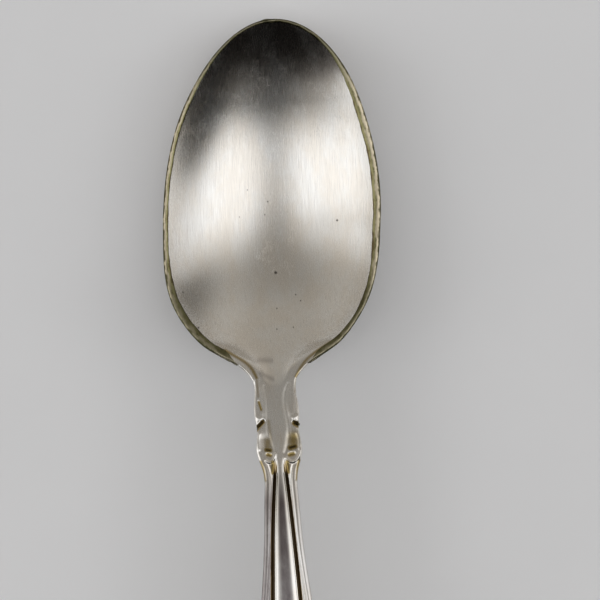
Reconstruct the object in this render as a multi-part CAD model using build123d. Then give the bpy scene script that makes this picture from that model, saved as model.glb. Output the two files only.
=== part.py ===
"""A silver-plated teaspoon: a stamped nickel-silver blank, and the silver deposited on it.

The frame, in millimetres: X across, Y along with the bowl's tip at +Y, Z up. The spoon lies on its back
on the plane z = 0, with the origin under the middle of its bounding box.

Every shape is worked out from s, the distance behind the bowl's tip. An argument called "inset" moves a
surface into the metal: inset 0 is the outside of the silver, and inset plating_thickness is the outside
of the blank.
"""

from build123d import *

import os

import numpy as np
from scipy.interpolate import CubicSpline, PchipInterpolator

# Driving dimensions.
overall_length = 152.0
bowl_width = 32.0
bowl_depth = 6.4
bowl_wall = 1.2
bowl_fullness = 0.25
rim_band = 0.85
rim_edge = 0.27
plating_thickness = 0.05

# Plan of the bowl: an egg, half-width squared = scale * s * (1 - s / egg_length) ** egg_power.
egg_length = 50.6
egg_power = 0.75
shoulder_s = 47.4

# Half-width behind the shoulder, as (s, half-width). The neck has two bulges with a notch between them.
end_cap_s = 136.0
BODY_WIDTHS = [
    (50.0, 6.05),
    (52.2, 3.5),
    (54.6, 3.05),
    (57.6, 3.28),
    (59.9, 3.02),
    (62.6, 3.36),
    (65.9, 2.52),
    (69.0, 2.45),
    (76.0, 2.84),
    (84.3, 3.65),
    (100.0, 5.3),
    (120.0, 7.1),
    (end_cap_s, 8.1),
]
# Upper line of the side view, as (s, height): the rim, then the front of the neck and handle.
TOP_HEIGHTS = [
    (-3.0, 7.86),
    (14.0, 7.33),
    (28.0, 7.65),
    (40.0, 8.97),
    (50.0, 10.89),
    (56.0, 12.3),
    (62.0, 13.61),
    (70.0, 15.02),
    (80.0, 16.04),
    (92.0, 15.85),
    (108.0, 13.78),
    (124.0, 10.1),
    (138.0, 5.83),
    (146.0, 3.34),
    (155.0, 0.85),
]
# Height of the side faces, and how much thicker the metal is along its middle than at its sides.
EDGE_HEIGHTS = [(-3.0, rim_edge), (40.0, rim_edge), (49.0, 0.6), (54.0, 1.2), (70.0, 1.45), (155.0, 1.2)]
CROWNS = [(-3.0, 0.0), (40.0, 0.0), (49.0, 0.48), (54.0, 1.75), (66.0, 1.5), (100.0, 1.0), (155.0, 0.4)]
# How much of the bowl's depth is left in the back, and how far the free-form surfaces reach sideways.
BOWL_SHARES = [(-3.0, 1.0), (50.0, 1.0), (70.0, 0.0), (155.0, 0.0)]
SURFACE_REACHES = [(-3.0, 18.5), (44.0, 18.5), (56.0, 6.5), (70.0, 6.5), (136.0, 11.0), (155.0, 11.0)]
# The rim band narrows over the shoulders. Down the neck the hollow's floor rises and runs out.
RIM_BANDS = [(-3.0, rim_band), (44.0, rim_band), (50.0, 0.6), (54.0, 0.42), (60.0, 0.42)]
HOLLOW_LIFTS = [(-3.0, 0.0), (49.0, 0.0), (57.0, 0.6), (60.0, 1.0)]
hollow_end_s = 59.0

# Relief on the front: a raised panel inside a groove, and a fine line that splits off the outer thread.
panel_nose = 2.4
panel_cap_s = 131.0
panel_cap = 13.0
groove_width = 0.5
groove_depth = 0.35
PANEL_WIDTHS = [
    (64.5, 0.42),
    (67.1, 0.62),
    (70.0, 0.85),
    (76.0, 1.24),
    (84.3, 1.64),
    (100.0, 2.5),
    (120.0, 3.35),
    (panel_cap_s, 3.7),
]
thread_width = 0.72
thread_line_width = 0.16
thread_line_depth = 0.14
thread_start_s = 70.0
# Eyes of the neck's leaf curls, as (x, s, half-width, half-length, lean in degrees), on one side.
CURL_EYES = [(2.45, 59.1, 0.36, 0.26, 30.0), (1.85, 61.9, 0.5, 0.8, -5.0), (1.68, 63.75, 0.28, 0.32, 0.0)]
curl_depth = 0.3

# Where the silver is worn off the rim, and how far the bare metal keeps from the hollow's edge.
worn_until_s = 46.0
silver_lip = 0.12

tip_y = overall_length / 2
bowl_half = bowl_width / 2
lowest = -3.0
reach = 60.0
beyond = 3.0
slope_step = 1e-3
surface_tolerance = 4e-3
points_per_spline = 7


def smooth(stations, first_slope=None):
    """A cubic spline through the stations, with a slope of its own at the first one if it is given."""
    at, value = np.array(stations).T
    first = (2, 0.0) if first_slope is None else (1, first_slope)
    return CubicSpline(at, value, bc_type=(first, (2, 0.0)))


def steady(stations):
    """A curve through the stations that never overshoots them."""
    return PchipInterpolator(*np.array(stations).T)


top_height = smooth(TOP_HEIGHTS)
edge_height = steady(EDGE_HEIGHTS)
crown = steady(CROWNS)
bowl_share = steady(BOWL_SHARES)
surface_reach = steady(SURFACE_REACHES)
rim_band_at = steady(RIM_BANDS)
hollow_lift = steady(HOLLOW_LIFTS)
panel_half = smooth(PANEL_WIDTHS)


# Plan.


def egg_squared(s):
    """The egg's half-width squared. It goes on smoothly below zero in front of the tip."""
    widest = 1 / (1 + egg_power)
    scale = bowl_half**2 / (widest * egg_length * (1 - widest) ** egg_power)
    return scale * s * np.clip(1 - s / egg_length, 0, None) ** egg_power


def slope(function, s):
    return (function(s + slope_step) - function(s - slope_step)) / (2 * slope_step)


shoulder_half = np.sqrt(egg_squared(shoulder_s))
shoulder_slope = slope(egg_squared, shoulder_s) / (2 * shoulder_half)
body_half = smooth([(shoulder_s, shoulder_half)] + BODY_WIDTHS, shoulder_slope)


def width_squared(s):
    """Half-width squared of the bowl, neck and handle, with the handle carried on past its end cap."""
    behind = body_half(np.clip(s, shoulder_s, end_cap_s)) ** 2
    return np.where(s < shoulder_s, egg_squared(s), behind)


def hollow_squared(s):
    """Half-width squared of the bowl's hollow: the plan moved in by the rim band."""
    steepness = 4 * width_squared(s) + slope(width_squared, s) ** 2
    return width_squared(s) - rim_band_at(s) * np.sqrt(np.clip(steepness, 0, None))


def symmetric_face(half, s, inset):
    """A face in plan from the half-widths down its middle line, moved in by inset."""
    across, along = np.gradient(half), np.gradient(s)
    across[0], along[0] = 1, 0
    across[-1], along[-1] = -1, 0
    length = np.hypot(across, along)
    x = half - inset * along / length
    y = tip_y - s - inset * across / length
    edges = []
    for sign in (1, -1):
        points = [(float(sign * a), float(b)) for a, b in zip(x, y)]
        tangents = [(float(sign * a), float(-b)) for a, b in zip(across, along)]
        for start in range(0, len(points) - 1, points_per_spline):
            end = min(start + points_per_spline, len(points) - 1)
            edges.append(Spline(*points[start : end + 1], tangents=[tangents[start], tangents[end]]))
    return Face(Wire(edges))


def outline_face(inset):
    """The whole outline in plan."""
    bowl = shoulder_s * np.linspace(0, 1, 15) ** 2
    neck = np.arange(shoulder_s + 0.9, 71.0, 0.9)
    handle = np.linspace(72.0, end_cap_s, 12)
    turn = np.linspace(0, np.pi / 2, 9)[1:]
    end = end_cap_s + (overall_length - end_cap_s) * np.sin(turn)
    s = np.concatenate([bowl, neck, handle, end])
    half = np.sqrt(width_squared(s))
    half[-len(turn) :] *= np.cos(turn)
    half[-1] = 0
    return symmetric_face(half, s, inset)


def panel_face(inset):
    """The handle's raised panel in plan: a pointed nose at the neck and a rounded lobe at the far end."""
    turn = np.linspace(0, np.pi / 2, 5)[1:]
    first_s = PANEL_WIDTHS[0][0]
    nose = first_s - panel_nose * np.sin(turn[::-1])
    lobe = panel_cap_s + panel_cap * np.sin(turn)
    s = np.concatenate([nose, np.linspace(first_s, panel_cap_s, 34), lobe])
    half = panel_half(np.clip(s, first_s, panel_cap_s))
    half[: len(turn)] *= np.cos(turn[::-1])
    half[-len(turn) :] *= np.cos(turn)
    half[0] = half[-1] = 0
    return symmetric_face(half, s, inset)


# Surfaces, as heights over the plan.


def swell(share):
    """How deep a bowl is, from 0 at its edge to 1 at its deepest, where share is its squared width there."""
    return share * (1 + bowl_fullness * (1 - share))


def hollow_height(x, s):
    """The inside of the bowl."""
    widest = bowl_half**2 - rim_band * bowl_width
    return top_height(s) + hollow_lift(s) - bowl_depth * swell((hollow_squared(s) - x**2) / widest)


def back_height(x, s):
    """The back of the bowl, neck and handle."""
    square = width_squared(s)
    outer_depth = (bowl_depth + bowl_wall - rim_edge) * bowl_share(s)
    bowl = outer_depth * swell((square - x**2) / bowl_half**2)
    arch = crown(s) * (1 - x**2 / np.clip(square, 1.0, None))
    return top_height(s) - edge_height(s) - bowl - arch


def surface(height, last_s, shift):
    """A free-form face through the given heights, moved by shift along its upward normal."""
    across = np.linspace(-1, 1, 15)
    points = []
    for s in np.linspace(-beyond, last_s, int((last_s + beyond) / 2) + 1):
        x = across * surface_reach(s)
        along = (height(x, s + slope_step) - height(x, s - slope_step)) / (2 * slope_step)
        sideways = (height(x + slope_step, s) - height(x - slope_step, s)) / (2 * slope_step)
        z = height(x, s) + shift * np.sqrt(1 + along**2 + sideways**2)
        points.append([(float(a), float(tip_y - s), float(b)) for a, b in zip(x, z)])
    return Face.make_surface_from_array_of_points(points, tol=surface_tolerance, min_deg=3, max_deg=3)


# Solids.


def standing(face):
    """A plan face made into a column that passes right through the spoon."""
    return Pos(0, 0, lowest) * extrude(face, amount=reach, dir=(0, 0, 1))


def under_front(drop):
    """Everything under the spoon's upper line, with the line lowered by drop."""
    stations = np.linspace(-beyond, overall_length + beyond, 33)
    points = [(float(tip_y - s), float(top_height(s) - drop)) for s in stations]
    tangents = [(-1.0, float(slope(top_height, s))) for s in stations]
    edges = []
    for start in range(0, len(points) - 1, 8):
        ends = [tangents[start], tangents[start + 8]]
        edges.append(Spline(*points[start : start + 9], tangents=ends))
    corners = [(points[-1][0], -reach), (points[0][0], -reach)]
    for a, b in zip([points[-1]] + corners, corners + [points[0]]):
        edges.append(Line(a, b))
    return extrude(Plane.YZ * Face(Wire(edges)), amount=bowl_width, both=True)


def sunk(column, depth):
    """The part of a column that is over the spoon's front, and down to depth under it."""
    return column - under_front(depth)


def panel_groove(inset):
    ring = standing(panel_face(-groove_width - inset)) - standing(panel_face(inset))
    return sunk(ring, groove_depth + inset)


def thread_line(inset):
    ring = standing(outline_face(thread_width - inset)) - standing(
        outline_face(thread_width + thread_line_width + inset)
    )
    handle = Pos(0, tip_y - thread_start_s + inset, 0) * Box(
        bowl_width, overall_length, 2 * reach, align=(Align.CENTER, Align.MAX, Align.CENTER)
    )
    return sunk(ring & handle, thread_line_depth + inset)


def curl_eyes(inset):
    eyes = []
    for side in (1, -1):
        for x, s, half_width, half_length, lean in CURL_EYES:
            shape = Ellipse(half_width + inset, half_length + inset, rotation=side * lean)
            eyes.append(sunk(standing(Pos(side * x, tip_y - s) * shape), curl_depth + inset))
    return eyes


def spoon_body(inset):
    """The whole spoon, moved in by inset everywhere."""
    body = standing(outline_face(inset)) & under_front(inset)
    body -= extrude(surface(back_height, overall_length + beyond, inset), amount=reach, dir=(0, 0, -1))
    body -= extrude(surface(hollow_height, hollow_end_s, -inset), amount=reach, dir=(0, 0, 1))
    for cutter in [panel_groove(inset), thread_line(inset), *curl_eyes(inset)]:
        body -= cutter
    return body


def worn_rim():
    """What wear has taken off: the silver on the bowl's rim and on the top of its edge."""
    ring = standing(outline_face(-1.0)) - standing(outline_face(rim_band - silver_lip))
    bowl = Pos(0, tip_y - worn_until_s, 0) * Box(
        2 * bowl_width, overall_length, 2 * reach, align=(Align.CENTER, Align.MIN, Align.CENTER)
    )
    return sunk(ring & bowl, 3 * plating_thickness)


if __name__ == "__main__":
    blank = spoon_body(plating_thickness)
    silver = spoon_body(0.0) - blank - worn_rim()
    os.makedirs("parts", exist_ok=True)
    for name, piece in [("nickel_silver_blank", blank), ("silver_plating", silver)]:
        export_step(piece, f"parts/{name}.step")
        box = piece.bounding_box()
        print(name, len(piece.solids()), round(piece.volume, 1), box.min, box.max)
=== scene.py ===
"""Looks of a silver-plated teaspoon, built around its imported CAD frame.

Lengths in the tables are in millimetres, because the spoon is small. s is the distance behind the bowl's
tip, and x the distance to the right of the middle line. Everything is turned into metres in one place,
make_mesh.
"""

import bmesh
import bpy
import numpy as np
from mathutils import Euler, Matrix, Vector


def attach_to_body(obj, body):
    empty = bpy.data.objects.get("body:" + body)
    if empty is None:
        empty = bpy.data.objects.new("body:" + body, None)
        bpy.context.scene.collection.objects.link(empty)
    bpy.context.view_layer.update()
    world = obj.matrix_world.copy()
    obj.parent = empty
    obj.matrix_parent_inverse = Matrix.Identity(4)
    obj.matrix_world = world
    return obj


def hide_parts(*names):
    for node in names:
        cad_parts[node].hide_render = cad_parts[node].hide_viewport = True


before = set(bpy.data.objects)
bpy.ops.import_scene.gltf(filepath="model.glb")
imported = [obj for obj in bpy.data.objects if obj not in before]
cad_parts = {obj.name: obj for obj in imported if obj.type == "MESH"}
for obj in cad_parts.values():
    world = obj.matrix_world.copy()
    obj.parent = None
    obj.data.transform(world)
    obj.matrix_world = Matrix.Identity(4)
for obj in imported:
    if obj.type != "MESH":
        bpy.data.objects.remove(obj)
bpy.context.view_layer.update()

MM = 0.001

# The CAD model's driving dimensions.
overall_length = 152.0
bowl_width = 32.0
bowl_depth = 6.4
bowl_wall = 1.2
bowl_fullness = 0.25
rim_edge = 0.27
plating_thickness = 0.05
egg_length = 50.6
egg_power = 0.75
shoulder_s = 47.4
end_cap_s = 136.0
BODY_WIDTHS = [
    (50.0, 6.05),
    (52.2, 3.5),
    (54.6, 3.05),
    (57.6, 3.28),
    (59.9, 3.02),
    (62.6, 3.36),
    (65.9, 2.52),
    (69.0, 2.45),
    (76.0, 2.84),
    (84.3, 3.65),
    (100.0, 5.3),
    (120.0, 7.1),
    (end_cap_s, 8.1),
]
TOP_HEIGHTS = [
    (-3.0, 7.86),
    (14.0, 7.33),
    (28.0, 7.65),
    (40.0, 8.97),
    (50.0, 10.89),
    (56.0, 12.3),
    (62.0, 13.61),
    (70.0, 15.02),
    (80.0, 16.04),
    (92.0, 15.85),
    (108.0, 13.78),
    (124.0, 10.1),
    (138.0, 5.83),
    (146.0, 3.34),
    (155.0, 0.85),
]
EDGE_HEIGHTS = [(-3.0, rim_edge), (40.0, rim_edge), (49.0, 0.6), (54.0, 1.2), (70.0, 1.45), (155.0, 1.2)]
CROWNS = [(-3.0, 0.0), (40.0, 0.0), (49.0, 0.48), (54.0, 1.75), (66.0, 1.5), (100.0, 1.0), (155.0, 0.4)]
BOWL_SHARES = [(-3.0, 1.0), (50.0, 1.0), (70.0, 0.0), (155.0, 0.0)]
panel_cap_s = 131.0
panel_cap = 13.0
PANEL_WIDTHS = [
    (64.5, 0.42),
    (67.1, 0.62),
    (70.0, 0.85),
    (76.0, 1.24),
    (84.3, 1.64),
    (100.0, 2.5),
    (120.0, 3.35),
    (panel_cap_s, 3.7),
]

# The bowl's hollow: the band that it leaves at the rim, how far wear has moved it off the middle, and how
# it rises out of the neck.
rim_band_width = 0.85
RIM_BANDS = [
    (-3.0, 0.4),
    (3.0, 0.42),
    (12.0, rim_band_width),
    (42.0, rim_band_width),
    (48.0, 1.05),
    (51.0, 1.0),
    (54.5, 0.65),
    (58.0, 0.42),
    (70.0, 0.42),
]
HOLLOW_SHIFTS = [
    (-3.0, 0.0),
    (3.0, 0.0),
    (14.0, 0.22),
    (30.0, 0.2),
    (37.0, 0.0),
    (43.0, -0.2),
    (49.0, -0.1),
    (53.0, -0.05),
    (56.0, 0.0),
    (155.0, 0.0),
]
HOLLOW_LIFTS = [(-3.0, 0.0), (49.0, 0.0), (57.0, 0.6), (60.0, 1.0), (155.0, 30.0)]
hollow_crease = 0.04
heel_evening = 4.0
rim_bead = 0.09

# What years of use have done to the outline: how far the middle line has bent to the right, how much the
# bowl has spread, and how far the tip has worn back (in the middle, and more of it on the left).
SWAYS = [
    (-3.0, 1.1),
    (0.0, 1.1),
    (7.5, 0.85),
    (14.6, 0.42),
    (27.0, 0.05),
    (32.0, -0.2),
    (45.0, -0.75),
    (52.6, -0.5),
    (58.4, -0.3),
    (65.0, -0.07),
    (73.0, 0.0),
    (84.0, 0.19),
    (155.0, 1.05),
]
SPREADS = [(-3.0, 0.985), (30.0, 0.985), (41.0, 1.02), (47.0, 1.0), (155.0, 1.0)]
TIP_WEARS = [(-3.0, 0.5), (0.0, 0.5), (26.0, 0.0), (155.0, 0.0)]
tip_wear_left = 0.02

# Handle relief.
groove_width = 0.78
groove_depth = 0.4
panel_slope_width = 0.6
panel_slope_drop = 0.17
thread_line_at = 0.76
thread_line_width = 0.085
thread_line_depth = 0.13
thread_bead = 0.02
EDGE_ROUNDINGS = [(-3.0, 0.13), (44.0, 0.13), (52.0, 0.35), (70.0, 0.4), (155.0, 0.4)]

# Neck relief, as strokes: (side, height, width, points as (distance from the middle line, s)). The side is
# 1 for the right, -1 for the left and 0 for both.
NECK_STROKES = [
    # The bowl's rim where it turns down into the neck.
    (-1, 0.12, 0.3, [(8.2, 48.2), (5.9, 49.6), (4.3, 50.9), (3.2, 52.6)]),
    (1, 0.08, 0.2, [(8.2, 48.3), (6.1, 49.5), (4.5, 50.9), (3.5, 52.4)]),
    # The crease along the middle tongue.
    (1, -0.06, 0.3, [(2.0, 53.4), (1.35, 55.0), (1.4, 57.4), (1.6, 59.6), (1.25, 61.9), (0.85, 63.2)]),
    (-1, -0.04, 0.26, [(1.5, 53.6), (1.25, 55.2), (1.3, 57.8), (1.4, 60.2), (1.15, 61.9), (0.8, 63.2)]),
    # The upper leaf, its slit, its curled end, and the notch below it.
    (0, 0.06, 0.5, [(2.3, 53.8), (2.4, 55.5), (2.25, 57.4)]),
    (-1, -0.07, 0.14, [(2.5, 55.7), (2.2, 56.9)]),
    (0, 0.09, 0.28, [(2.9, 58.0), (2.4, 58.2)]),
    (1, -0.42, 0.24, [(3.3, 59.4), (2.9, 59.1)]),
    (1, -0.3, 0.2, [(2.9, 59.1), (2.35, 58.9)]),
    (-1, -0.35, 0.2, [(3.3, 60.0), (2.75, 59.3), (2.0, 58.6)]),
    # The lower leaf: its outer ridge, its hollow, its curled end and the eye inside that.
    (0, 0.1, 0.2, [(2.75, 60.4), (3.0, 61.4), (2.95, 62.6)]),
    (0, -0.13, 0.7, [(2.0, 61.2), (1.9, 62.2)]),
    (1, 0.17, 0.2, [(0.95, 64.0), (1.5, 64.45), (2.15, 64.4), (2.7, 63.8), (3.05, 62.9)]),
    (1, -0.16, 0.3, [(1.45, 63.5), (2.0, 63.4)]),
    (-1, 0.15, 0.18, [(0.7, 63.3), (0.9, 64.1), (1.5, 64.5), (2.0, 64.2)]),
    (-1, -0.14, 0.26, [(1.4, 63.5), (1.7, 63.4)]),
    # Where the leaves end on the handle's thread.
    (0, -0.12, 0.2, [(2.95, 64.7), (2.55, 65.6), (2.4, 67.0)]),
]

# Tarnish on each side's thread, with painted shade added on the left, and smudges and stains as strokes:
# (side, strength, width, points as above).
thread_tarnish_and_shade_left = 0.85
thread_tarnish_and_shade_right = 0.3
SMUDGE_STROKES = [
    (-1, 0.35, 0.4, [(0.1, 49.9), (2.0, 49.8)]),
    (-1, 0.35, 0.35, [(1.9, 51.7), (0.2, 52.6)]),
]
STAIN_STROKES = [
    (1, 0.6, 0.24, [(9.0, 47.2), (6.8, 48.5), (4.6, 50.2), (3.1, 52.3)]),
    (1, 0.3, 0.24, [(3.1, 52.3), (2.9, 54.5)]),
    (-1, 0.6, 0.28, [(6.8, 48.2), (4.75, 49.5), (3.35, 50.7), (2.55, 52.3)]),
    (-1, 0.35, 0.22, [(2.55, 52.3), (2.5, 55.0)]),
    (-1, 0.8, 0.2, [(2.45, 55.8), (2.2, 56.9)]),
    (1, 1.2, 0.38, [(3.1, 59.35), (2.5, 59.0)]),
    (-1, 1.2, 0.28, [(3.1, 59.8), (2.7, 59.3), (2.1, 58.7)]),
    (1, 0.62, 1.0, [(2.2, 60.9), (2.1, 61.7)]),
    (1, 1.05, 0.4, [(1.6, 62.5), (2.3, 62.3)]),
    (-1, 0.5, 0.7, [(1.6, 61.5), (1.65, 62.2)]),
    (-1, 1.0, 0.34, [(1.35, 62.8), (1.85, 62.7)]),
    (-1, 0.35, 0.35, [(1.25, 58.6), (1.15, 60.8), (1.2, 62.3)]),
    (1, 0.8, 0.36, [(1.45, 63.5), (1.95, 63.4)]),
    (-1, 0.8, 0.32, [(1.35, 63.5), (1.7, 63.4)]),
    (0, 0.6, 0.3, [(2.75, 64.4), (2.5, 65.4), (2.35, 67.0)]),
    (0, 0.75, 0.34, [(1.05, 64.5), (1.1, 66.0)]),
]

# Pits in the bowl: (x, s, radius).
PITS = [
    (-0.6, 26.8, 0.11),
    (-1.1, 28.7, 0.10),
    (9.4, 29.9, 0.16),
    (0.2, 37.2, 0.23),
    (3.0, 40.5, 0.10),
    (3.7, 41.4, 0.10),
    (0.2, 42.4, 0.10),
    (2.5, 45.2, 0.10),
    (0.1, 45.4, 0.10),
    (-4.8, 28.9, 0.08),
    (-3.5, 25.0, 0.08),
    (-11.2, 44.8, 0.14),
    (-13.3, 39.6, 0.11),
]

# Wear: how far the silver has gone from the outline of the bowl, right and left, as (s, width).
worn_until_s = 50.4
wear_wander = 0.035
WEAR_RIGHT = [
    (0.0, 0.42),
    (4.0, 0.5),
    (12.0, 1.0),
    (14.0, 1.12),
    (30.0, 1.1),
    (38.0, 0.9),
    (44.0, 0.75),
    (47.5, 0.95),
    (worn_until_s, 0.15),
]
WEAR_LEFT = [
    (0.0, 0.42),
    (4.0, 0.44),
    (12.0, 0.68),
    (14.0, 0.7),
    (30.0, 0.72),
    (38.0, 0.95),
    (44.0, 1.15),
    (47.5, 1.15),
    (worn_until_s, 0.15),
]

# Mesh density.
FRONT_COLUMNS = (15, 10, 14, 7, 9)
SIDE_COLUMNS = 2
BACK_COLUMNS = 30


def smooth(stations):
    """A natural cubic spline through the stations."""
    at, value = np.array(stations, dtype=float).T
    step = np.diff(at)
    rise = np.diff(value) / step
    bend = np.zeros(len(at))
    rows = np.diag(2 * (step[:-1] + step[1:])) + np.diag(step[1:-1], 1) + np.diag(step[1:-1], -1)
    bend[1:-1] = np.linalg.solve(rows, 6 * np.diff(rise))

    def curve(s):
        i = np.clip(np.searchsorted(at, s) - 1, 0, len(step) - 1)
        h, a, b = step[i], at[i + 1] - s, s - at[i]
        cubic = (bend[i] * a**3 + bend[i + 1] * b**3) / (6 * h)
        return cubic + (value[i] / h - bend[i] * h / 6) * a + (value[i + 1] / h - bend[i + 1] * h / 6) * b

    return curve


def steady(stations):
    """A smooth curve through the stations that never overshoots them."""
    at, value = np.array(stations, dtype=float).T
    rise = np.diff(value) / np.diff(at)
    same_way = rise[:-1] * rise[1:] > 0
    mean = 2 * rise[:-1] * rise[1:] / np.where(same_way, rise[:-1] + rise[1:], 1)
    slopes = np.concatenate([[rise[0]], np.where(same_way, mean, 0), [rise[-1]]])

    def curve(s):
        s = np.clip(s, at[0], at[-1])
        i = np.clip(np.searchsorted(at, s) - 1, 0, len(rise) - 1)
        h = at[i + 1] - at[i]
        t = (s - at[i]) / h
        ends = value[i] * (2 * t**3 - 3 * t**2 + 1) + value[i + 1] * (3 * t**2 - 2 * t**3)
        return ends + h * (slopes[i] * (t**3 - 2 * t**2 + t) + slopes[i + 1] * (t**3 - t**2))

    return curve


top_height = smooth(TOP_HEIGHTS)
edge_height = steady(EDGE_HEIGHTS)
crown = steady(CROWNS)
bowl_share = steady(BOWL_SHARES)
rim_band = steady(RIM_BANDS)
hollow_lift = steady(HOLLOW_LIFTS)
edge_rounding = steady(EDGE_ROUNDINGS)
panel_half = smooth(PANEL_WIDTHS)
hollow_shift = steady(HOLLOW_SHIFTS)
sway = steady(SWAYS)
spread = steady(SPREADS)
tip_wear = steady(TIP_WEARS)
wear_right = steady(WEAR_RIGHT)
wear_left = steady(WEAR_LEFT)


# Plan.


def egg_squared(s):
    """Half-width squared of the bowl's egg shape."""
    widest = 1 / (1 + egg_power)
    scale = (bowl_width / 2) ** 2 / (widest * egg_length * (1 - widest) ** egg_power)
    return scale * s * np.clip(1 - s / egg_length, 0, None) ** egg_power


SHOULDER_WIDTHS = [(s, np.sqrt(egg_squared(s))) for s in (shoulder_s - 1.2, shoulder_s)]
body_half = smooth(SHOULDER_WIDTHS + BODY_WIDTHS)


def width_squared(s):
    """Half-width squared of the whole outline."""
    behind = body_half(np.clip(s, shoulder_s, end_cap_s)) ** 2
    cap = np.clip((s - end_cap_s) / (overall_length - end_cap_s), 0, 1)
    return np.where(s < shoulder_s, egg_squared(s), behind * (1 - cap**2))


def panel_squared(s):
    """Half-width squared of the handle's raised panel. It is negative past the panel's ends."""
    along = np.clip(s, PANEL_WIDTHS[0][0], panel_cap_s)
    cap = (np.maximum(s, panel_cap_s) - panel_cap_s) / panel_cap
    nose = np.clip((PANEL_WIDTHS[0][0] - s) / 3.0, 0, None)
    return panel_half(along) ** 2 * (1 - cap**2) - nose**2


def steepness(squared, s):
    """How fast an outline's squared distance changes: dividing by it gives a distance from that outline."""
    step = 1e-3
    change = (squared(s + step) - squared(s - step)) / (2 * step)
    return np.sqrt(np.clip(4 * squared(s) + change**2, 1e-9, None))


def inside(squared, x, s):
    """Distance of a point inside an outline, negative outside it."""
    return (squared(s) - x**2) / steepness(squared, s)


def half_at(distance, s):
    """Half-width of the outline moved in by a distance."""
    return np.sqrt(np.clip(width_squared(s) - distance * steepness(width_squared, s), 0, None))


# Heights.


def swell(share):
    """How deep a bowl is, from 0 at its edge to 1 at its deepest, where share is its squared width there."""
    return share * (1 + bowl_fullness * (1 - share))


def ramp(value, low, high):
    """A soft step from 0 at low to 1 at high."""
    t = np.clip((value - low) / (high - low), 0, 1)
    return t * t * (3 - 2 * t)


def bump(distance, width):
    """1 at no distance, falling away smoothly over the width."""
    return np.exp(-((distance / width) ** 2))


def hollow_squared(s):
    """Half-width squared of the hollow's outline."""
    return width_squared(s) - rim_band(s) * steepness(width_squared, s)


def hollow_drop(x, s):
    """Depth of the bowl's hollow, with a softened crease where it meets the rim and an even heel."""
    widest = (bowl_width / 2) ** 2 - rim_band_width * bowl_width
    off = (x + hollow_shift(s)) ** 2
    square = hollow_squared(s)
    reach = heel_evening * ramp(s, 36, 46) * (1 - ramp(s, 53, 60))
    even = sum(hollow_squared(s + reach * shift) for shift in np.linspace(-1, 1, 17)) / 17
    square = square + (even - square) * ramp(1 - off / np.clip(square, 1, None), 0, 1)
    depth = bowl_depth * swell((square - off) / widest) - hollow_lift(s)
    return (depth + np.sqrt(depth**2 + hollow_crease**2)) / 2


def rim_drop(x, s):
    """The rim's worn, slightly rounded band."""
    middle = (rim_band(s) + hollow_shift(s) * np.sign(x)) / 2
    off = np.clip(inside(width_squared, x, s) / middle - 1, -1, 1)
    return rim_bead * (1 - ramp(s, 49, 57)) * off**2


def edge_drop(x, s, radius):
    """How far a rounded edge falls away near the outline."""
    t = np.clip(1 - inside(width_squared, x, s) / radius, 0, 1)
    return radius * (1 - np.sqrt(1 - t**2))


def handle_relief(x, s):
    """The panel, its groove and the thread's fine line."""
    on_handle = ramp(s, 63.6, 66.5)
    panel = inside(panel_squared, x, s)
    edge = inside(width_squared, x, s)
    slope_width = np.minimum(panel_slope_width, 0.9 * np.sqrt(np.clip(panel_squared(s), 0.05, None)))
    slope = panel_slope_drop * (1 - np.clip(panel / slope_width, 0, 1)) ** 2 * (panel > 0)
    groove = groove_depth * np.clip(1 - ((panel + groove_width / 2) / (groove_width / 2)) ** 2, 0, 1) ** 0.7
    line = thread_line_depth * bump(edge - thread_line_at, thread_line_width)
    bead = thread_bead * np.clip(np.abs(edge - 0.4) / 0.36, 0, 1) ** 2 * (edge < thread_line_at)
    shoulder = panel_slope_drop * bump(panel, 0.6 * groove_width) * (panel < 0)
    return -on_handle * (slope + groove + line + bead + shoulder), on_handle * groove / groove_depth


def handle_tarnish_and_shade(x, s):
    """How dull the handle is, partly tarnish and partly painted shade: its panel's flat middle, and the
    threads, most of all on the left, where the extra darkness is painted shade.
    """
    panel = inside(panel_squared, x, s)
    across_panel = x**2 / np.clip(panel_squared(s), 0.05, None)
    middle = (panel > 0) * (1 - ramp(across_panel, 0.05, 0.5))
    thread_tarnish_and_shade = np.where(x < 0, thread_tarnish_and_shade_left, thread_tarnish_and_shade_right)
    threads = ramp(-panel, groove_width - 0.2, groove_width) * thread_tarnish_and_shade
    return ramp(s, 64, 71) * np.maximum(middle, threads)


def stroke_distance(x, s, points):
    """Distance to a smooth line through points."""
    knots = np.arange(len(points))
    fine = np.linspace(0, knots[-1], 6 * knots[-1] + 1)
    if len(points) > 2:
        lines = [smooth(list(zip(knots, values)))(fine) for values in zip(*points)]
        points = list(zip(*lines))
    best = np.full(np.broadcast(x, s).shape, 1e3)
    for (x0, s0), (x1, s1) in zip(points[:-1], points[1:]):
        run = np.hypot(x1 - x0, s1 - s0)
        t = np.clip(((x - x0) * (x1 - x0) + (s - s0) * (s1 - s0)) / run**2, 0, 1)
        best = np.minimum(best, np.hypot(x - x0 - t * (x1 - x0), s - s0 - t * (s1 - s0)))
    return best


def neck_relief(x, s):
    """The neck's leaf curls."""
    height = np.zeros(np.broadcast(x, s).shape)
    near = ramp(s, 48.5, 49.5) * (s < 68.5)
    for side, stroke_height, width, points in NECK_STROKES:
        here = near * (side * x >= 0)
        height += here * stroke_height * bump(stroke_distance(np.abs(x), s, points), width)
    return height


def stain(x, s, strokes):
    """How stained the metal is by a list of strokes."""
    total = np.zeros(np.broadcast(x, s).shape)
    for side, strength, width, points in strokes:
        here = (side * x >= 0) * strength
        total = np.maximum(total, here * bump(stroke_distance(np.abs(x), s, points), width))
    return total


def front_height(x, s):
    """Height of the side that faces up."""
    relief, _ = handle_relief(x, s)
    base = top_height(s) - hollow_drop(x, s) - rim_drop(x, s) - edge_drop(x, s, edge_rounding(s))
    return base + relief + neck_relief(x, s)


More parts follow.
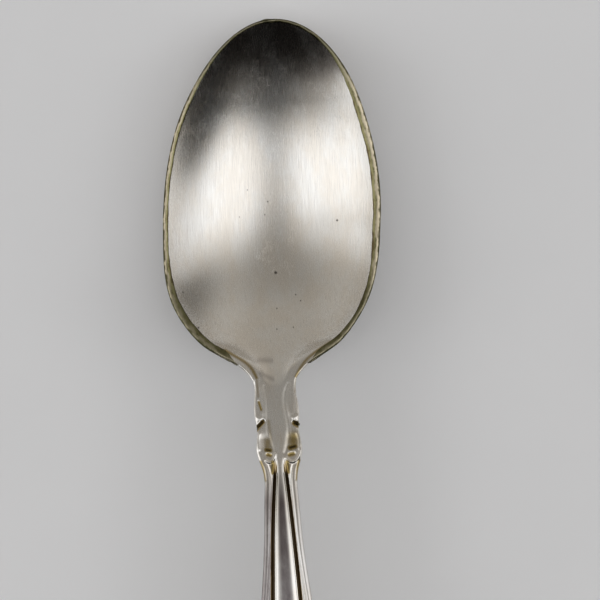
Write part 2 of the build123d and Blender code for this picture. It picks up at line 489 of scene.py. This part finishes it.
def back_height(x, s):
    """Height of the side that faces the table."""
    square = width_squared(s)
    outer_depth = (bowl_depth + bowl_wall - rim_edge) * bowl_share(s)
    bowl = outer_depth * swell((square - x**2) / (bowl_width / 2) ** 2)
    arch = crown(s) * (1 - x**2 / np.clip(square, 1.0, None))
    lift = edge_drop(x, s, 0.45 * edge_height(s))
    return top_height(s) - edge_height(s) - bowl - arch + lift


# The mesh.


def rows():
    """Stations from tip to end, closest where the relief is finest."""
    tip = shoulder_s * np.linspace(0, 1, 171)[:-1] ** 2
    end = np.arcsin((145.5 - end_cap_s) / (overall_length - end_cap_s))
    cap = end_cap_s + (overall_length - end_cap_s) * np.sin(np.linspace(end, np.pi / 2, 45))
    return np.concatenate(
        [
            tip,
            np.arange(shoulder_s, 52, 0.16),
            np.arange(52, 68, 0.075),
            np.arange(68, 129, 0.6),
            np.arange(129, 145.5, 0.28),
            cap,
        ]
    )


def wander(s, phase):
    """An uneven line, for the edge of the wear."""
    waves = [(1.3, 1.0), (0.55, 1.7), (0.27, 2.9), (0.11, 4.1)]
    total = sum(np.sqrt(length) * np.sin(s / length + phase * turn) for length, turn in waves)
    return wear_wander * total / 1.6


def column_edges(s, side):
    """Where the front's column zones end, as x, from the middle line to the outline."""
    half = np.sqrt(width_squared(s))
    worn = (wear_right if side > 0 else wear_left)(s) + wander(s, 1.0 if side > 0 else 4.0)
    bowl = [0.45 * half_at(1.45, s), 0.75 * half_at(1.45, s), half_at(1.4, s)]
    bowl.append(half_at(np.clip(worn, 0.12, 1.2), s))
    neck = [0.27 * half, 0.46 * half, 0.72 * half, 0.86 * half]
    panel = np.sqrt(np.clip(panel_squared(s), 0, None))
    outer = half_at(thread_line_at + 0.12, s)
    groove = np.minimum(panel + groove_width, outer - 0.06)
    handle = [np.minimum(panel, groove - 0.02), groove, outer, half_at(thread_line_at - 0.12, s)]
    handle = [np.clip(edge, 0, half) for edge in handle]
    to_neck, to_handle = ramp(s, 48.5, 52.5), ramp(s, 63.5, 66.0)
    zones = []
    for in_bowl, in_neck, on_handle in zip(bowl, neck, handle):
        before_handle = in_bowl * (1 - to_neck) + in_neck * to_neck
        zones.append(before_handle * (1 - to_handle) + on_handle * to_handle)
    return np.stack([0 * s] + zones + [half])


def front_columns(s):
    """x of every front column, for each station, from the right edge to the left edge."""
    sides = []
    for side in (1, -1):
        edges = column_edges(s, side)
        columns = []
        for zone, count in enumerate(FRONT_COLUMNS):
            t = np.arange(count) / count
            if zone == len(FRONT_COLUMNS) - 1:
                t = np.sin(t * np.pi / 2)
            columns.append(edges[zone] + t[:, None] * (edges[zone + 1] - edges[zone]))
        columns.append(edges[-1:])
        sides.append(side * np.concatenate(columns))
    return np.concatenate([sides[0][::-1], sides[1][1:]])


def spoon_shape():
    """Vertices (loops by stations), faces, which faces have lost their silver, and the materials' marks."""
    s = rows()
    half = np.sqrt(width_squared(s))
    front_x = front_columns(s)
    front_z = front_height(front_x, s)
    turn = np.linspace(0, np.pi, BACK_COLUMNS + 1)
    back_x = -half * np.cos(turn)[:, None]
    back_z = back_height(back_x, s)
    share = (np.arange(SIDE_COLUMNS) + 1)[:, None] / (SIDE_COLUMNS + 1)
    left_z = front_z[-1] + share * (back_z[0] - front_z[-1])
    right_z = back_z[-1] + share * (front_z[0] - back_z[-1])
    x = np.concatenate([front_x, -half + 0 * left_z, back_x, half + 0 * right_z])
    z = np.concatenate([front_z, left_z, back_z, right_z])
    y = overall_length / 2 - s - tip_wear(s) * (1 - tip_wear_left * x)
    verts = np.stack([x * spread(s) + sway(s), y, z], axis=-1)

    loops, stations = x.shape
    worn = np.zeros(loops, dtype=bool)
    rim_columns = FRONT_COLUMNS[-1]
    front = len(front_x)
    worn[:rim_columns] = True
    worn[front - 1 - rim_columns : front + SIDE_COLUMNS + 1] = True
    worn[-SIDE_COLUMNS - 1 :] = True
    faces, face_worn = [], []
    zero_front = half_at(wear_right(s) + wander(s, 1.0), s) <= 0
    for j in range(stations - 1):
        all_front = zero_front[j] or zero_front[j + 1]
        for i in range(loops):
            k = (i + 1) % loops
            faces.append((i * stations + j, k * stations + j, k * stations + j + 1, i * stations + j + 1))
            face_worn.append(s[j] < worn_until_s and (worn[i] or (all_front and i < front)))
    marks = {name: np.zeros_like(x) for name in ("recess", "stain", "dull", "across")}
    marks["recess"][:front] = handle_relief(front_x, s)[1]
    marks["stain"][:front] = stain(front_x, s, STAIN_STROKES)
    # The dull mark holds smudges, and the handle's tarnish with painted shade.
    marks["dull"][:front] = np.maximum(handle_tarnish_and_shade(front_x, s), stain(front_x, s, SMUDGE_STROKES))
    land = rim_band(s) + hollow_shift(s) * np.sign(front_x)
    marks["across"][:front] = inside(width_squared, front_x, s) / land
    marks = {name: values.ravel() for name, values in marks.items()}
    return verts.reshape(-1, 3), faces, np.array(face_worn), marks


def make_mesh(name, verts, faces, marks):
    """A smooth-shaded object from vertices in millimetres, with its coincident vertices joined."""
    mesh = bpy.data.meshes.new(name)
    mesh.from_pydata((verts * MM).tolist(), [], faces)
    for mark, values in marks.items():
        mesh.attributes.new(mark, "FLOAT", "POINT").data.foreach_set("value", values.astype(np.float32))
    work = bmesh.new()
    work.from_mesh(mesh)
    bmesh.ops.remove_doubles(work, verts=work.verts, dist=2e-6)
    bmesh.ops.dissolve_degenerate(work, edges=work.edges, dist=1e-7)
    loose = [v for v in work.verts if not v.link_faces]
    bmesh.ops.delete(work, geom=loose, context="VERTS")
    bmesh.ops.recalc_face_normals(work, faces=work.faces)
    for face in work.faces:
        face.smooth = True
    work.to_mesh(mesh)
    work.free()
    piece = bpy.data.objects.new(name, mesh)
    bpy.context.collection.objects.link(piece)
    return piece


def vertex_normals(verts, faces):
    """Unit normals at the vertices, averaged over the faces round each one."""
    quads = np.array(faces)
    a, b, c, d = (verts[quads[:, i]] for i in range(4))
    face_normals = np.cross(c - a, d - b)
    normals = np.zeros_like(verts)
    for i in range(4):
        np.add.at(normals, quads[:, i], face_normals)
    return normals / np.clip(np.linalg.norm(normals, axis=1, keepdims=True), 1e-12, None)


# Materials. The first colours are the silver's, the next ones the bare base metal's.

silver_cool = (0.91, 0.9, 0.875, 1.0)
silver_warm = (0.885, 0.84, 0.775, 1.0)
silver_streak = (0.6, 0.57, 0.54, 1.0)
# Painted dark reflection at the bowl's tip.
tip_dark_reflection = (0.16, 0.135, 0.12, 1.0)
# Dull grey for smudges, and for the handle's tarnish and painted shade.
dull_and_shade_grey = (0.17, 0.145, 0.15, 1.0)
pit_black = (0.08, 0.07, 0.06, 1.0)
stain_olive = (0.36, 0.26, 0.07, 1.0)
stain_dark = (0.06, 0.045, 0.02, 1.0)
recess_golden = (0.36, 0.26, 0.11, 1.0)
recess_dark = (0.03, 0.02, 0.01, 1.0)

base_outer = (0.1, 0.09, 0.045, 1.0)
base_middle = (0.72, 0.64, 0.47, 1.0)
base_inner = (0.3, 0.28, 0.14, 1.0)
base_edge = (0.13, 0.1, 0.05, 1.0)
base_ends = (0.12, 0.12, 0.06, 1.0)


class Nodes:
    """A material's nodes, made and joined in short calls."""

    def __init__(self, material):
        material.use_nodes = True
        self.tree = material.node_tree
        self.tree.nodes.clear()

    def add(self, kind, inputs=None, **settings):
        node = self.tree.nodes.new(kind)
        for key, value in settings.items():
            setattr(node, key, value)
        for key, value in (inputs or {}).items():
            self.put(node, key, value)
        return node

    def put(self, node, key, value):
        if isinstance(value, bpy.types.NodeSocket):
            self.tree.links.new(value, node.inputs[key])
        else:
            node.inputs[key].default_value = value

    def math(self, operation, a, b=0.0):
        return self.add("ShaderNodeMath", {0: a, 1: b}, operation=operation).outputs[0]

    def map(self, value, low, high, to_low=0.0, to_high=1.0):
        inputs = {"Value": value, "From Min": low, "From Max": high, "To Min": to_low, "To Max": to_high}
        return self.add("ShaderNodeMapRange", inputs, interpolation_type="SMOOTHSTEP").outputs["Result"]

    def mix(self, share, a, b):
        node = self.add("ShaderNodeMix", data_type="RGBA")
        self.put(node, 0, share)
        self.put(node, 6, a)
        self.put(node, 7, b)
        return node.outputs[2]

    def noise(self, vector, scale, detail=3.0, rough=0.5):
        inputs = {"Vector": vector, "Scale": scale, "Detail": detail, "Roughness": rough}
        return self.add("ShaderNodeTexNoise", inputs).outputs["Fac"]

    def stretched(self, scale, turn=0.0):
        place = self.add("ShaderNodeTexCoord").outputs["Object"]
        inputs = {"Vector": place, "Scale": scale, "Rotation": (0.0, 0.0, turn)}
        return self.add("ShaderNodeMapping", inputs).outputs["Vector"]

    def finish(self, shader):
        out = self.add("ShaderNodeOutputMaterial")
        self.tree.links.new(shader.outputs[0], out.inputs["Surface"])


def mark(n, name):
    """One of the marks that spoon_shape puts on the vertices."""
    return n.add("ShaderNodeAttribute", attribute_name=name).outputs["Fac"]


def scuffs(n, place):
    """Short curled scratches in patches, at the bowl's tip and along its middle."""
    inputs = {"Vector": n.stretched((900.0, 700.0, 900.0)), "Scale": 1.0, "Detail": 1.0, "Distortion": 2.5}
    curled = n.add("ShaderNodeTexNoise", inputs).outputs["Fac"]
    line = n.map(n.math("ABSOLUTE", n.math("SUBTRACT", curled, 0.5)), 0.004, 0.02, 1.0, 0.0)
    patches = n.noise(n.stretched((420.0, 420.0, 420.0)), 1.0, 2.0, 0.5)
    middle = n.map(n.math("ABSOLUTE", place.outputs["X"]), 0.002, 0.0045, 1.0, 0.0)
    middle = n.math("MULTIPLY", middle, n.map(place.outputs["Y"], 0.026, 0.034))
    where = n.math("MAXIMUM", middle, n.map(place.outputs["Y"], 0.054, 0.062))
    return n.math("MULTIPLY", n.math("MULTIPLY", line, n.map(patches, 0.48, 0.64)), where)


def pit_share(n, place):
    """1 inside each of the bowl's pits."""
    flat = n.add("ShaderNodeCombineXYZ", {"X": place.outputs["X"], "Y": place.outputs["Y"]}).outputs[0]
    total = 0.0
    for x, s, radius in PITS:
        inputs = {0: flat, 1: (x * MM, (overall_length / 2 - s) * MM, 0.0)}
        off = n.add("ShaderNodeVectorMath", inputs, operation="DISTANCE").outputs["Value"]
        total = n.math("ADD", total, n.map(off, 0.4 * radius * MM, 1.4 * radius * MM, 1.0, 0.0))
    return total


def silver_material():
    """Old silver: scoured satin in the bowl, brighter on the handle, with tarnish in the recesses."""
    material = bpy.data.materials.new("worn_silver")
    n = Nodes(material)
    brushed = n.noise(n.stretched((14000.0, 300.0, 2000.0)), 1.0, 3.0, 0.6)
    crossed = n.noise(n.stretched((5200.0, 420.0, 2000.0), 0.5), 1.0, 3.0, 0.6)
    clouds = n.noise(n.stretched((260.0, 120.0, 260.0)), 1.0, 6.0, 0.65)
    place = n.add("ShaderNodeSeparateXYZ", {0: n.add("ShaderNodeTexCoord").outputs["Object"]})
    clean = n.mix(n.map(clouds, 0.35, 0.65), silver_cool, silver_warm)
    streaked = n.mix(n.map(brushed, 0.35, 0.75, 0.0, 0.3), clean, silver_streak)
    # Painted dark reflection: the bowl's tip is darkened, in mottled patches.
    tip = n.math("MULTIPLY", n.map(place.outputs["Y"], 0.0615, 0.0715), n.map(clouds, 0.4, 0.6, 0.5, 1.0))
    tip_darkened = n.mix(n.math("MULTIPLY", tip, 0.8), streaked, tip_dark_reflection)
    # Dulling: smudges, and the handle's tarnish with painted shade on the threads and panel.
    dull = n.math("MULTIPLY", mark(n, "dull"), n.map(clouds, 0.3, 0.6, 0.75, 0.97))
    dulled = n.mix(dull, tip_darkened, dull_and_shade_grey)
    pitted = n.mix(n.math("MULTIPLY", pit_share(n, place), 0.9), dulled, pit_black)
    stained = n.mix(n.map(mark(n, "stain"), 0.03, 0.7, 0.0, 0.94), pitted, stain_olive)
    deep = n.mix(n.map(mark(n, "stain"), 0.72, 1.05, 0.0, 0.95), stained, stain_dark)
    golden = n.mix(n.map(mark(n, "recess"), 0.02, 0.4, 0.0, 0.85), deep, recess_golden)
    dark = n.mix(n.map(mark(n, "recess"), 0.6, 0.95), golden, recess_dark)
    satin = n.map(place.outputs["Y"], 0.009, 0.014, 0.18, 0.22)
    rough = n.math("ADD", n.map(brushed, 0.3, 0.7, 0.0, 0.07), satin)
    height = n.math("ADD", n.math("MULTIPLY", brushed, 0.7), n.math("MULTIPLY", crossed, 0.3))
    height = n.math("SUBTRACT", height, n.math("MULTIPLY", scuffs(n, place), 0.32))
    scratched = n.map(place.outputs["Y"], 0.012, 0.03, 0.12, 0.55)
    bumped = n.add("ShaderNodeBump", {"Strength": scratched, "Distance": 2e-5, "Height": height})
    shader = n.add(
        "ShaderNodeBsdfPrincipled",
        {"Base Color": dark, "Metallic": 1.0, "Roughness": rough, "Normal": bumped.outputs["Normal"]},
    )
    n.finish(shader)
    return material


def base_metal_material():
    """Bare nickel silver on the rim: yellow-green, mottled and dull, and darkest at its two edges."""
    material = bpy.data.materials.new("bare_nickel_silver")
    n = Nodes(material)
    mottle = n.noise(n.stretched((900.0, 500.0, 900.0)), 1.0, 5.0, 0.65)
    fine = n.noise(n.stretched((4000.0, 2500.0, 4000.0)), 1.0, 3.0, 0.6)
    across = n.math("ADD", mark(n, "across"), n.map(mottle, 0.3, 0.7, -0.22, 0.22))
    outer = n.mix(n.map(across, 0.0, 0.28), base_outer, base_middle)
    inner = n.mix(n.map(across, 0.45, 0.75), outer, base_inner)
    edged = n.mix(n.map(across, 0.85, 1.05), inner, base_edge)
    along = n.add("ShaderNodeSeparateXYZ", {0: n.add("ShaderNodeTexCoord").outputs["Object"]}).outputs["Y"]
    at_ends = n.math("MAXIMUM", n.map(along, 0.042, 0.034), n.map(along, 0.06, 0.072))
    tone = n.mix(n.math("MULTIPLY", at_ends, 0.62), edged, base_ends)
    rough = n.map(mottle, 0.3, 0.7, 0.4, 0.25)
    bumped = n.add("ShaderNodeBump", {"Strength": 0.25, "Distance": 3e-5, "Height": fine})
    shader = n.add(
        "ShaderNodeBsdfPrincipled",
        {"Base Color": tone, "Metallic": 1.0, "Roughness": rough, "Normal": bumped.outputs["Normal"]},
    )
    n.finish(shader)
    return material


def floor_material():
    """Pale grey cloth, with a painted shadow that darkens it round the spoon."""
    material = bpy.data.materials.new("pale_floor")
    n = Nodes(material)
    cloth = n.noise(n.stretched((60.0, 60.0, 60.0)), 1.0, 3.0, 0.5)
    tone = n.mix(cloth, (0.785, 0.79, 0.808, 1.0), (0.815, 0.82, 0.838, 1.0))
    # Painted shadow: the cloth is mixed toward grey near the spoon, in an ellipse along its length.
    off_middle = n.add("ShaderNodeVectorMath", {0: n.stretched((34.0, 12.0, 0.0))}, operation="LENGTH")
    shaded = n.mix(n.map(off_middle.outputs["Value"], 0.1, 1.1, 0.4, 0.0), tone, (0.5, 0.5, 0.5, 1.0))
    n.finish(n.add("ShaderNodeBsdfPrincipled", {"Base Color": shaded, "Roughness": 0.9}))
    return material


# Pieces.


def build_spoon():
    """The blank, which shows where the silver has worn through, and the silver over it."""
    verts, faces, worn, marks = spoon_shape()
    normals = vertex_normals(verts, faces)
    wear_ends_y = overall_length / 2 - worn_until_s
    near_rim = ramp(verts[:, 1], wear_ends_y - 2, wear_ends_y + 1)
    on_rim = near_rim * ramp(np.abs(verts[:, 0]), 0, 1)
    depth = plating_thickness * (3 - 2.2 * on_rim)
    blank = make_mesh("nickel_silver_blank_detail", verts - normals * depth[:, None], faces, marks)
    kept = [face for face, gone in zip(faces, worn) if not gone]
    silver = make_mesh("silver_plating_detail", verts, kept, marks)
    return blank, silver


def attach(piece, node, material):
    """Gives a piece its material and puts it in the place of its CAD node."""
    piece.data.materials.append(material)
    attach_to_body(piece, "root")
    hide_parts(node)


# Stage.


def make_floor():
    """The table that the spoon lies on."""
    bpy.ops.mesh.primitive_plane_add(size=4.0, location=(0, 0, 0))
    floor = bpy.context.object
    floor.name = "floor"
    floor.data.materials.append(floor_material())


# The world, by the parts of a unit vector to the right (x) and toward the bowl's tip (y).
LIGHT_LOWER_EDGE = (-0.49, -0.24)
LIGHT_UPPER_EDGE = (0.04, 0.42)
OVERHEAD_GAP = (0.0, 0.4)
gap_at = -0.07
gap_level = 0.46
gap_upper_shift = 0.12
light_upper_rise = 0.045
light_level = 1.2
light_right_rise = 0.34
light_right_drop = 0.07
FAR_WALL_LEVELS = (0.22, 0.34)
room_black = 0.004

floor_light_size = 0.9
FLOOR_LIGHTS = [
    ("light_above", (0.0, 0.0, 1.4), 1.62),
    ("light_left", (-1.2, 0.1, 0.6), 3.2),
    ("light_right", (1.2, 0.1, 0.6), 2.4),
]

camera_lens = 411.0
camera_roll = -2.0
CAMERA_PLACE = (3.6 * MM, 34.7 * MM, 1.0)


def make_world():
    """A dim room with a big soft light on each side and a dark gap overhead, black behind the handle."""
    world = bpy.data.worlds.new("studio")
    bpy.context.scene.world = world
    n = Nodes(world)
    way = n.add("ShaderNodeSeparateXYZ", {0: n.add("ShaderNodeTexCoord").outputs["Generated"]})
    x, y = way.outputs["X"], way.outputs["Y"]
    # The lights' lower edge drops on the right, and rises again on the far right.
    drop = n.map(x, 0.15, 0.5, 0.0, light_right_drop)
    rise = n.math("SUBTRACT", n.map(x, 0.5, 1.0, 0.0, light_right_rise), drop)
    below = n.map(n.math("SUBTRACT", y, rise), *LIGHT_LOWER_EDGE)
    gap = n.map(n.math("ABSOLUTE", n.math("SUBTRACT", x, gap_at)), *OVERHEAD_GAP, 1.0, 0.0)
    right_rise = n.map(x, 0.05, 0.4, 0.0, light_upper_rise)
    upper_shift = n.math("SUBTRACT", n.math("MULTIPLY", gap, gap_upper_shift), right_rise)
    upper_y = n.math("ADD", y, upper_shift)
    over = n.map(upper_y, *LIGHT_UPPER_EDGE, 1.0, 0.0)
    band = n.math("MULTIPLY", below, over)
    level = n.map(gap, 0.0, 1.0, light_level, gap_level * light_level)
    right_fade = n.map(x, 0.75, 1.05, 1.0, 0.65)
    lights = n.math("MULTIPLY", n.math("MULTIPLY", level, right_fade), band)
    far_wall = n.math("MULTIPLY", n.map(y, -0.2, 0.3), n.map(y, 0.45, 0.9, *FAR_WALL_LEVELS))
    left_wall = n.math("MULTIPLY", n.map(x, -0.9, -0.3, 0.16, 0.0), n.map(y, 0.0, 0.5))
    right_wall = n.math("MULTIPLY", n.map(x, 0.1, 0.5, 0.0, 0.1), n.map(y, 0.0, 0.5))
    right_end = n.math("MULTIPLY", n.map(x, 0.5, 0.85, 0.0, 0.65), n.map(y, 0.15, 0.5))
    walls = n.math("ADD", far_wall, n.math("ADD", left_wall, right_wall))
    walls = n.math("MULTIPLY", walls, n.math("SUBTRACT", 1.0, right_end))
    off_lights = n.math("MULTIPLY", walls, n.math("SUBTRACT", 1.0, band))
    total = n.math("ADD", n.math("ADD", lights, off_lights), room_black)
    tint = n.mix(band, (1.0, 0.94, 0.85, 1.0), (1.0, 1.0, 1.0, 1.0))
    background = n.add("ShaderNodeBackground", {"Color": tint, "Strength": total})
    out = n.add("ShaderNodeOutputWorld")
    n.tree.links.new(background.outputs[0], out.inputs["Surface"])


def make_floor_lights():
    """Soft lights for the floor, one above and one low on each side. The metal doesn't show them."""
    for name, place, energy in FLOOR_LIGHTS:
        data = bpy.data.lights.new(name, "AREA")
        data.shape = "DISK"
        data.size = floor_light_size
        data.energy = energy
        light = bpy.data.objects.new(name, data)
        light.location = place
        light.rotation_euler = Vector(place).to_track_quat("Z", "Y").to_euler()
        light.visible_glossy = False
        light.visible_camera = False
        bpy.context.collection.objects.link(light)


def make_camera():
    """Straight above the bowl, far away, and turned a little."""
    camera = bpy.data.objects.new("camera", bpy.data.cameras.new("camera"))
    bpy.context.collection.objects.link(camera)
    camera.data.sensor_width = 36.0
    camera.data.lens = camera_lens
    camera.data.clip_end = 10.0
    camera.location = CAMERA_PLACE
    camera.rotation_euler = Euler((0.0, 0.0, np.radians(camera_roll)))
    bpy.context.scene.camera = camera


make_camera()
make_world()
make_floor_lights()
make_floor()
blank, silver = build_spoon()
attach(blank, "nickel_silver_blank", base_metal_material())
attach(silver, "silver_plating", silver_material())

scene = bpy.context.scene
scene.view_settings.view_transform = "Standard"
